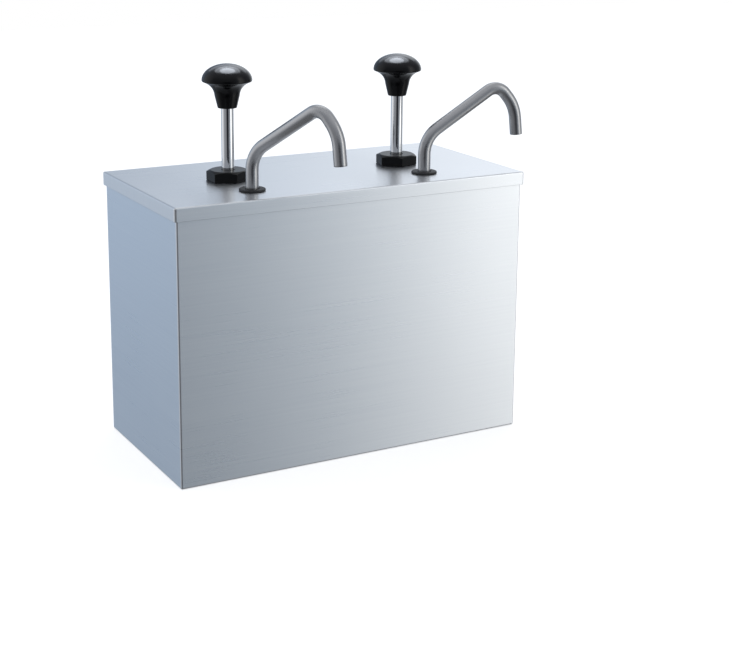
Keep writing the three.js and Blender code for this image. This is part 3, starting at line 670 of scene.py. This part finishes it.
def ferrule_mesh():
    """A grooved plug on the spout's end, its foot cut by two crossing slots."""
    socket, step = spout_radius + seat_gap, ferrule_bottom + ferrule_step
    half, floor = ring_section + seat_gap, boot_bore - 2 * seat_gap - 2 * ring_section
    low, high = ferrule_middle - half, ferrule_middle + half
    outline = [
        (spout_bore, ferrule_bottom, 0.2), (ferrule_radius, ferrule_bottom, 0.8),
        (ferrule_radius, low, 0.2), (floor, low, 0.25), (floor, high, 0.25),
        (ferrule_radius, high, 0.2), (ferrule_radius, ferrule_top, 0.8), (socket, ferrule_top, 0.3),
        (socket, step), (spout_bore, step),
    ]
    past = 3  # how far the slots reach in, and their cutters outside
    reach, half_slot = ferrule_radius + past, ferrule_slot / 2
    foot, top = ferrule_bottom - past, ferrule_bottom + past
    lengthwise = bar((-reach, -half_slot, foot), (reach, half_slot, top))
    crosswise = bar((-half_slot, -reach, foot), (half_slot, reach, top))
    return cut_by(turned("spout_ferrule", softened(outline)), lengthwise, crosswise)


def spout_mesh():
    corners = [(0, 0, spout_bottom), (0, 0, spout_rise)]
    for length, degrees in spout_runs:
        x, _, z = corners[-1]
        slope = math.radians(degrees)
        corners.append((x + length * math.cos(slope), 0, z + length * math.sin(slope)))
    rings = tube_rings(bent_line(corners, spout_bends), (0, 1, 0), spout_radius, spout_bore, 64)
    return finished_mesh("spout", *skinned(rings, closed=True))


def grommet_mesh():
    outline = [
        (grommet_bore, grommet_bottom, 0.3), (grommet_radius, grommet_bottom, 0.5),
        (grommet_radius, grommet_lip_top, 0.2), (grommet_waist, grommet_lip_top),
        (grommet_waist, seat_gap), (grommet_radius, seat_gap, 0.3),
        (grommet_radius, grommet_top, grommet_round), (grommet_bore, grommet_top, grommet_round),
    ]
    return turned("spout_grommet", softened(outline))


# Node trees

class Nodes:
    """A node tree with short ways to add to it."""

    def __init__(self, tree):
        self.nodes, self.links = tree.nodes, tree.links

    def link(self, source, target):
        self.links.new(source, target)

    def add(self, kind, inputs=None, **settings):
        """The outputs of a new node. Its inputs are given values or linked to other nodes' outputs."""
        node = self.nodes.new(f"ShaderNode{kind}")
        for label, value in settings.items():
            setattr(node, label, value)
        for label, value in (inputs or {}).items():
            if isinstance(value, bpy.types.NodeSocket):
                self.link(value, node.inputs[label])
            else:
                node.inputs[label].default_value = value
        return node.outputs

    def math(self, operation, *values):
        return self.add("Math", dict(enumerate(values)), operation=operation)[0]

    def times(self, value, factor):
        return self.math("MULTIPLY", value, factor)

    def beyond(self, value, limit):
        """1 where the value is further from 0 than the limit, elsewhere 0."""
        return self.math("GREATER_THAN", self.math("ABSOLUTE", value), limit)

    def split(self, vector):
        return self.add("SeparateXYZ", {0: vector})

    def vector(self, *parts):
        return self.add("CombineXYZ", dict(enumerate(parts)))[0]

    def noise(self, vector, scale=1.0, detail=3.0):
        return self.add("TexNoise", {
            "Scale": scale, "Detail": detail, "Roughness": 0.55, "Vector": vector,
        })[0]

    def ranged(self, value, low, high, start=NOISE_LOW, end=NOISE_HIGH, kind="LINEAR"):
        """A value that goes from low to high as the given one goes from start to end."""
        return self.add("MapRange", {
            "Value": value, "From Min": start, "From Max": end, "To Min": low, "To Max": high,
        }, interpolation_type=kind)[0]


# Finishes

class Finish(Nodes):
    """A node material with one metal or plastic surface."""

    def __init__(self, name, colour, metallic, roughness):
        self.material = bpy.data.materials.new(name)
        self.material.use_nodes = True
        super().__init__(self.material.node_tree)
        self.shader = self.nodes["Principled BSDF"]
        self.shader.inputs["Base Color"].default_value = (*colour, 1)
        self.shader.inputs["Metallic"].default_value = metallic
        self.shader.inputs["Roughness"].default_value = roughness
        coordinates = self.add("TexCoord")
        self.object, self.facing = coordinates["Object"], coordinates["Normal"]
        self.normal = None

    def tinted(self, value, dark, light):
        """The base colour runs between two colours with the value."""
        node = self.nodes.new("ShaderNodeValToRGB")
        ends = zip(node.color_ramp.elements, (NOISE_LOW, NOISE_HIGH), (dark, light))
        for mark, position, colour in ends:
            mark.position, mark.color = position, (*colour, 1)
        self.link(value, node.inputs[0])
        self.link(node.outputs[0], self.shader.inputs["Base Color"])

    def bump(self, height, depth, strength):
        """Relief in metres, on top of any relief made before."""
        inputs = {"Strength": strength, "Distance": depth, "Height": height}
        if self.normal is not None:
            inputs["Normal"] = self.normal
        self.normal = self.add("Bump", inputs)[0]
        self.link(self.normal, self.shader.inputs["Normal"])

    def rough(self, value):
        self.link(value, self.shader.inputs["Roughness"])


def brushed_sheet():
    """Sheet steel brushed lengthwise: level streaks on the walls, streaks along X on the lid.

    The lid is brushed flat and then folded, so its end skirts carry the streaks on downwards.
    """
    finish = Finish("brushed_sheet", (0.72, 0.74, 0.76), 1.0, 0.3)
    x, y, z = finish.split(finish.object)
    facing = finish.split(finish.facing)
    level = finish.beyond(facing[2], 0.7)
    outside = finish.beyond(x, (case_x + 1) * MM)
    endways = finish.beyond(facing[0], 0.7)
    folded = finish.math("MAXIMUM", level, finish.times(outside, endways))
    upright = finish.math("SUBTRACT", 1.0, folded)
    along = finish.math("ADD", x, finish.math("MULTIPLY_ADD", y, upright, finish.times(z, folded)))
    across = finish.math("MULTIPLY_ADD", y, folded, finish.times(z, upright))
    fine = finish.noise(finish.vector(finish.times(along, 14), finish.times(across, 2600), 0.0))
    broad = finish.noise(finish.vector(finish.times(along, 5), finish.times(across, 420), 3.0))
    cloud = finish.noise(finish.object, 9.0, 2.0)
    streaks = finish.math("MULTIPLY_ADD", broad, 0.7, finish.times(fine, 0.3))
    finish.tinted(broad, (0.707, 0.727, 0.75), (0.733, 0.753, 0.771))
    shade = finish.ranged(cloud, -0.012, 0.012)
    finish.rough(finish.math("ADD", finish.ranged(streaks, 0.27, 0.31), shade))
    finish.bump(fine, 0.000002, 0.25)
    finish.bump(cloud, 0.00004, 0.3)
    finish.shader.inputs["Anisotropic"].default_value = 0.75
    finish.link(finish.vector(0.0, folded, upright), finish.shader.inputs["Tangent"])
    return finish.material


def pan_sheet_steel():
    """Deep-drawn sheet: satin, with faint upright drawing marks."""
    finish = Finish("pan_sheet", (0.66, 0.67, 0.68), 1.0, 0.38)
    x, y, z = finish.split(finish.object)
    across = finish.math("ADD", x, y)
    marks = finish.noise(finish.vector(finish.times(across, 700), finish.times(z, 9), 0.0))
    cloud = finish.noise(finish.object, 14.0, 3.0)
    finish.tinted(marks, (0.62, 0.63, 0.64), (0.69, 0.7, 0.71))
    shade = finish.ranged(cloud, -0.03, 0.03)
    finish.rough(finish.math("ADD", finish.ranged(marks, 0.33, 0.42), shade))
    finish.bump(marks, 0.000006, 0.6)
    return finish.material


def polished_rod():
    """Polished bar with hairline marks round it."""
    finish = Finish("bright_rod", (0.7, 0.705, 0.715), 1.0, 0.07)
    z = finish.split(finish.object)[2]
    rings = finish.noise(finish.vector(finish.times(z, 1800), 0.0, 0.0), 1.0, 2.0)
    cloud = finish.noise(finish.object, 60.0, 2.0)
    finish.tinted(cloud, (0.685, 0.69, 0.7), (0.72, 0.725, 0.735))
    shade = finish.ranged(cloud, -0.01, 0.015)
    finish.rough(finish.math("ADD", finish.ranged(rings, 0.05, 0.085), shade))
    finish.bump(rings, 0.0000012, 0.4)
    return finish.material


def satin_tube():
    """Bent tube, satin, with fine marks of the polishing belt."""
    finish = Finish("satin_tube", (0.45, 0.45, 0.455), 1.0, 0.31)
    grain = finish.noise(finish.object, 1500.0, 2.0)
    cloud = finish.noise(finish.object, 45.0, 3.0)
    finish.tinted(grain, (0.42, 0.42, 0.425), (0.48, 0.48, 0.485))
    shade = finish.ranged(cloud, -0.03, 0.03)
    finish.rough(finish.math("ADD", finish.ranged(grain, 0.27, 0.34), shade))
    finish.bump(grain, 0.000004, 0.25)
    return finish.material


def turned_steel():
    """Steel off the lathe, with fine grooves round its axis."""
    finish = Finish("turned_steel", (0.64, 0.65, 0.665), 1.0, 0.28)
    x, y, z = finish.split(finish.object)
    radius = finish.math("SQRT", finish.math("MULTIPLY_ADD", x, x, finish.times(y, y)))
    place = finish.vector(finish.times(radius, 3200), finish.times(z, 3200), 0.0)
    grooves = finish.noise(place, 1.0, 2.0)
    finish.tinted(grooves, (0.59, 0.6, 0.615), (0.68, 0.69, 0.705))
    finish.rough(finish.ranged(grooves, 0.22, 0.34))
    finish.bump(grooves, 0.000005, 0.7)
    return finish.material


def spring_steel():
    """Drawn wire, a little darker, with drawing marks."""
    finish = Finish("spring_steel", (0.55, 0.56, 0.58), 1.0, 0.32)
    grain = finish.noise(finish.object, 2200.0, 2.0)
    finish.tinted(grain, (0.48, 0.49, 0.51), (0.6, 0.61, 0.63))
    finish.rough(finish.ranged(grain, 0.26, 0.4))
    finish.bump(grain, 0.000004, 0.6)
    return finish.material


def gloss_black():
    """High-gloss moulded black with the slightest ripple."""
    finish = Finish("gloss_black", (0.002, 0.002, 0.0024), 0.0, 0.17)
    ripple = finish.noise(finish.object, 160.0, 1.0)
    dust = finish.noise(finish.object, 2400.0, 1.0)
    finish.tinted(dust, (0.0014, 0.0014, 0.0017), (0.003, 0.003, 0.0036))
    finish.rough(finish.ranged(ripple, 0.15, 0.2))
    finish.bump(ripple, 0.000012, 0.5)
    finish.shader.inputs["Specular IOR Level"].default_value = 0.2
    return finish.material


def collar_black():
    """Semi-gloss moulded black with a fine grain."""
    finish = Finish("collar_black", (0.0035, 0.0035, 0.004), 0.0, 0.34)
    grain = finish.noise(finish.object, 1300.0, 2.0)
    cloud = finish.noise(finish.object, 90.0, 2.0)
    finish.tinted(cloud, (0.003, 0.003, 0.0035), (0.0045, 0.0045, 0.005))
    finish.rough(finish.ranged(grain, 0.27, 0.37))
    finish.bump(grain, 0.00001, 0.5)
    finish.shader.inputs["Specular IOR Level"].default_value = 0.17
    return finish.material


def black_rubber():
    """Smooth black rubber, a little bloomed."""
    finish = Finish("black_rubber", (0.014, 0.014, 0.015), 0.0, 0.55)
    bloom = finish.noise(finish.object, 240.0, 3.0)
    grain = finish.noise(finish.object, 2000.0, 1.0)
    finish.tinted(bloom, (0.011, 0.011, 0.012), (0.021, 0.021, 0.022))
    finish.rough(finish.ranged(bloom, 0.48, 0.62))
    finish.bump(grain, 0.00001, 0.5)
    return finish.material


def white_nylon():
    """Turned white nylon, slightly warm, with faint grooves."""
    finish = Finish("white_nylon", (0.78, 0.77, 0.73), 0.0, 0.42)
    z = finish.split(finish.object)[2]
    grooves = finish.noise(finish.vector(finish.times(z, 2600), 0.0, 0.0), 1.0, 2.0)
    cloud = finish.noise(finish.object, 80.0, 2.0)
    finish.tinted(cloud, (0.75, 0.74, 0.7), (0.8, 0.79, 0.75))
    finish.rough(finish.ranged(grooves, 0.36, 0.48))
    finish.bump(grooves, 0.000012, 0.6)
    return finish.material


finishes = {
    "brushed_sheet": brushed_sheet(),
    "pan_sheet": pan_sheet_steel(),
    "bright_rod": polished_rod(),
    "satin_tube": satin_tube(),
    "turned_steel": turned_steel(),
    "spring_steel": spring_steel(),
    "gloss_black": gloss_black(),
    "collar_black": collar_black(),
    "black_rubber": black_rubber(),
    "white_nylon": white_nylon(),
}


# The pieces, each in the place of its CAD node

bodies = frame["record"]["behaviour"]["bodies"]
body_of_node = {node: body for body, members in bodies.items() for node in members}


def dress(node, mesh, slot, place=(0.0, 0.0, 0.0), turn=0.0):
    """Puts a fine piece where a CAD node stands, on the same body and with the same slot."""
    piece = added(f"{node}_form", mesh)
    piece.location = [c * MM for c in place]
    mesh.transform(Matrix.Rotation(math.radians(turn), 4, "Z"))
    mesh.materials.clear()
    mesh.materials.append(finishes[slot])
    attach(piece, body_of_node[node])
    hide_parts(node)
    return piece


seal = round_ring("piston_seal", seal_radius, piston_middle, seal_section)
pump_pieces = [
    ("knob", knob_mesh(), "gloss_black"),
    ("plunger_rod", rod_mesh(), "bright_rod"),
    ("piston", piston_mesh(), "white_nylon"),
    ("piston_seal", seal, "black_rubber"),
    ("piston_nut", nut_mesh(), "turned_steel"),
    ("return_spring", spring_mesh(), "spring_steel"),
    ("lid_washer", washer_mesh(), "black_rubber"),
    ("cylinder_head", head_mesh(), "turned_steel"),
    ("guide_bush", bush_mesh(), "white_nylon"),
    ("cylinder", cylinder_mesh(), "satin_tube"),
    ("intake_tube", intake_mesh(), "satin_tube"),
    ("intake_valve_seat", valve_seat_mesh(), "turned_steel"),
    ("intake_ball", ball("intake_ball", intake_ball, intake_ball_level), "bright_rod"),
    ("intake_stop_pin", stop_pin_mesh(), "turned_steel"),
    ("discharge_elbow", elbow_mesh(), "satin_tube"),
]
discharge_pieces = [
    ("discharge_boot", boot_mesh(), "satin_tube"),
    ("discharge_ball", ball("discharge_ball", discharge_ball, discharge_ball_level), "bright_rod"),
    ("spout_grommet", grommet_mesh(), "black_rubber"),
]
swivel_pieces = [
    ("spout", spout_mesh(), "satin_tube"),
    ("spout_ferrule", ferrule_mesh(), "turned_steel"),
    ("spout_ring", round_ring("spout_ring", ring_radius, ferrule_middle, ring_section), "black_rubber"),
]
collar = collar_mesh()
pan = pan_mesh()

dress("outer_case", case_mesh(), "brushed_sheet")
dress("lid", lid_mesh(), "brushed_sheet")
for name, pump in pumps.items():
    x = pump["side"] * pump_x
    pump_place, spout_place = (x, 0, lid_top), (x, -spout_offset, lid_top)
    dress(f"{name}_pan", pan.copy(), "pan_sheet", (x, 0, 0))
    dress(f"{name}_lock_collar", collar.copy(), "collar_black", pump_place, pump["collar_turn"])
    for label, mesh, slot in pump_pieces:
        piece = dress(f"{name}_{label}", mesh.copy(), slot, pump_place)
        if label == "return_spring":
            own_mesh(piece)
    for label, mesh, slot in discharge_pieces:
        dress(f"{name}_{label}", mesh.copy(), slot, spout_place)
    for label, mesh, slot in swivel_pieces:
        dress(f"{name}_{label}", mesh.copy(), slot, spout_place, pump["spout_azimuth"])


# Studio: soft surroundings, a pale floor, an overhead softbox and light boxes for the knobs

def studio_world():
    """Soft surroundings that change with the compass direction, and plain white to the camera."""
    world = bpy.data.worlds.new("studio")
    bpy.context.scene.world = world
    world.use_nodes = True
    world.node_tree.nodes.clear()
    sky = Nodes(world.node_tree)
    x, y, z = sky.split(sky.add("TexCoord")["Generated"])
    share = sky.ranged(sky.math("ARCTAN2", y, x), 0.0, 1.0, -math.pi, math.pi)

    def ramp(stops):
        node = sky.nodes.new("ShaderNodeValToRGB")
        marks = node.color_ramp.elements
        while len(marks) > 1:
            marks.remove(marks[-1])
        for i, (degrees, *colour) in enumerate(stops):
            mark = marks[0] if i == 0 else marks.new((degrees + 180) / 360)
            mark.position = (degrees + 180) / 360
            mark.color = (*colour, 1)
        sky.link(share, node.inputs[0])
        return node.outputs[0]

    def climb(start, end):
        return sky.ranged(z, 0.0, 1.0, start, end, "SMOOTHSTEP")

    def mixed(kind, share_of_second, first, second):
        node = sky.nodes.new("ShaderNodeMix")
        node.data_type = "RGBA"
        node.blend_type = kind
        sky.link(share_of_second, node.inputs["Factor"])
        for socket, colour in zip([s for s in node.inputs if s.type == "RGBA"], (first, second)):
            if isinstance(colour, tuple):
                socket.default_value = (*colour, 1)
            else:
                sky.link(colour, socket)
        return [s for s in node.outputs if s.type == "RGBA"][0]

    walls = ramp([
        (-180, 0.42, 0.44, 0.48), (-165, 0.33, 0.34, 0.36), (-145, 0.31, 0.32, 0.34),
        (-133, 0.2, 0.21, 0.23), (-125, 0.045, 0.048, 0.058), (-114, 0.006, 0.008, 0.012),
        (-104, 0.012, 0.014, 0.02), (-95, 0.13, 0.14, 0.16), (-84, 0.3, 0.32, 0.35),
        (-71, 0.36, 0.41, 0.47), (-65, 0.47, 0.54, 0.62), (-61, 0.75, 0.82, 0.89),
        (-57, 1.33, 1.35, 1.37), (-52, 2.22, 2.21, 2.17), (-42, 1.65, 1.65, 1.63),
        (-22, 0.4, 0.42, 0.45), (8, 0.36, 0.38, 0.42), (32, 0.9, 0.95, 1.02),
        (50, 1.3, 1.35, 1.42), (57, 1.18, 1.24, 1.33), (64, 0.79, 0.87, 0.98),
        (71, 0.48, 0.56, 0.68), (82, 0.27, 0.32, 0.41), (95, 0.36, 0.43, 0.54),
        (104, 0.48, 0.59, 0.75), (117, 0.5, 0.62, 0.78), (124, 0.84, 0.9, 0.98),
        (150, 1.0, 1.02, 1.06), (165, 0.8, 0.82, 0.86), (180, 0.42, 0.44, 0.48),
    ])
    front = ramp([(-180, 0.4, 0.42, 0.46), (-62, 0.4, 0.42, 0.46), (-50, 0, 0, 0), (170, 0, 0, 0)])
    raised = mixed("LIGHTEN", climb(0.0, 0.2), walls, front)
    whole = mixed("MIX", climb(0.38, 0.85), raised, (0.62, 0.64, 0.68))
    grounded = mixed("MIX", climb(-0.42, -0.7), whole, (0.36, 0.37, 0.39))
    sink = sky.ranged(z, 0.63, 1.0, -0.36, -0.19)
    surroundings = sky.add("Background", {"Color": grounded, "Strength": sink})[0]
    white = sky.add("Background", {"Color": (1, 1, 1, 1)})[0]
    rays = sky.add("LightPath")
    straight = sky.math("MAXIMUM", rays["Is Camera Ray"], rays["Is Transmission Ray"])
    picked = sky.add("MixShader", {0: straight, 1: surroundings, 2: white})[0]
    sky.add("OutputWorld", {"Surface": picked})


def studio_floor():
    """A pale floor that keeps a soft shadow and reads as white to the camera."""
    half, drop, glow_level = 4.0, 0.0004, 0.6
    mesh = bpy.data.meshes.new("floor")
    corners = [(-half, -half, 0), (half, -half, 0), (half, half, 0), (-half, half, 0)]
    mesh.from_pydata(corners, [], [(0, 1, 2, 3)])
    floor = added("floor", mesh)
    floor.location.z = -drop
    finish = Finish("pale_floor", (0.8, 0.8, 0.8), 0.0, 0.9)
    cloud = finish.noise(finish.object, 3.0, 2.0)
    finish.tinted(cloud, (0.79, 0.79, 0.79), (0.81, 0.81, 0.81))
    finish.shader.inputs["Specular IOR Level"].default_value = 0.0
    strength = finish.times(finish.add("LightPath")["Is Camera Ray"], glow_level)
    glow = finish.add("Emission", {"Strength": strength})[0]
    both = finish.add("AddShader", {0: finish.shader.outputs[0], 1: glow})[0]
    finish.link(both, finish.nodes["Material Output"].inputs["Surface"])
    mesh.materials.append(finish.material)
    floor.visible_glossy = False


def softbox(name, place, target, size, radiance, shape="RECTANGLE"):
    """A soft light aimed at a point. An ellipse has the given radiance, a rectangle 0.785 of it."""
    lamp = bpy.data.lights.new(name, "AREA")
    lamp.shape = shape
    lamp.size, lamp.size_y = size
    lamp.energy = radiance * size[0] * size[1] * math.pi
    light = added(name, lamp)
    light.location = place
    light.rotation_euler = (Vector(target) - Vector(place)).to_track_quat("-Z", "Y").to_euler()
    return light


studio_world()
studio_floor()
softbox("overhead", (0.25, 0.55, 1.55), (0.05, 0.05, 0.3), (0.9, 0.8), 0.4)

# Oval light boxes for the knobs alone, one above the other
knobs = bpy.data.collections.new("knobs")
for name in pumps:
    knobs.objects.link(bpy.data.objects[f"{name}_knob_form"])
bearing, distance, knob_level = math.radians(64), 4.0, 0.34
for label, degrees, size, radiance in (
    ("wide", 36, (5.2, 1.6), 1.2), ("middle", 69, (4.4, 4.0), 4.3), ("narrow", 76, (2.6, 2.9), 11.5),
):
    rise, level = distance * math.sin(math.radians(degrees)), distance * math.cos(math.radians(degrees))
    place = (level * math.cos(bearing), level * math.sin(bearing), knob_level + rise)
    box = softbox(f"knob_box_{label}", place, (0.0, 0.0, knob_level), size, radiance, "ELLIPSE")
    box.data.color = (0.84, 0.9, 1.0)
    box.light_linking.receiver_collection = knobs

# Camera at the photographed viewpoint
camera_data = bpy.data.cameras.new("camera")
camera_data.sensor_width = 36.0
camera_data.lens = 75.203
camera_data.shift_x = 0.00127
camera_data.shift_y = -0.1552
camera_data.clip_start, camera_data.clip_end = 0.05, 30
camera = added("camera", camera_data)
right, up = (0.87532, -0.48347, 0.00811), (0.10113, 0.19944, 0.97468)
forward = (0.47285, 0.85234, -0.22347)
axes = Matrix((right, up, [-c for c in forward])).transposed().to_4x4()
camera.matrix_world = Matrix.Translation((-0.70027, -1.36964, 0.58171)) @ axes
bpy.context.scene.camera = camera
bpy.context.scene.view_settings.view_transform = "Standard"
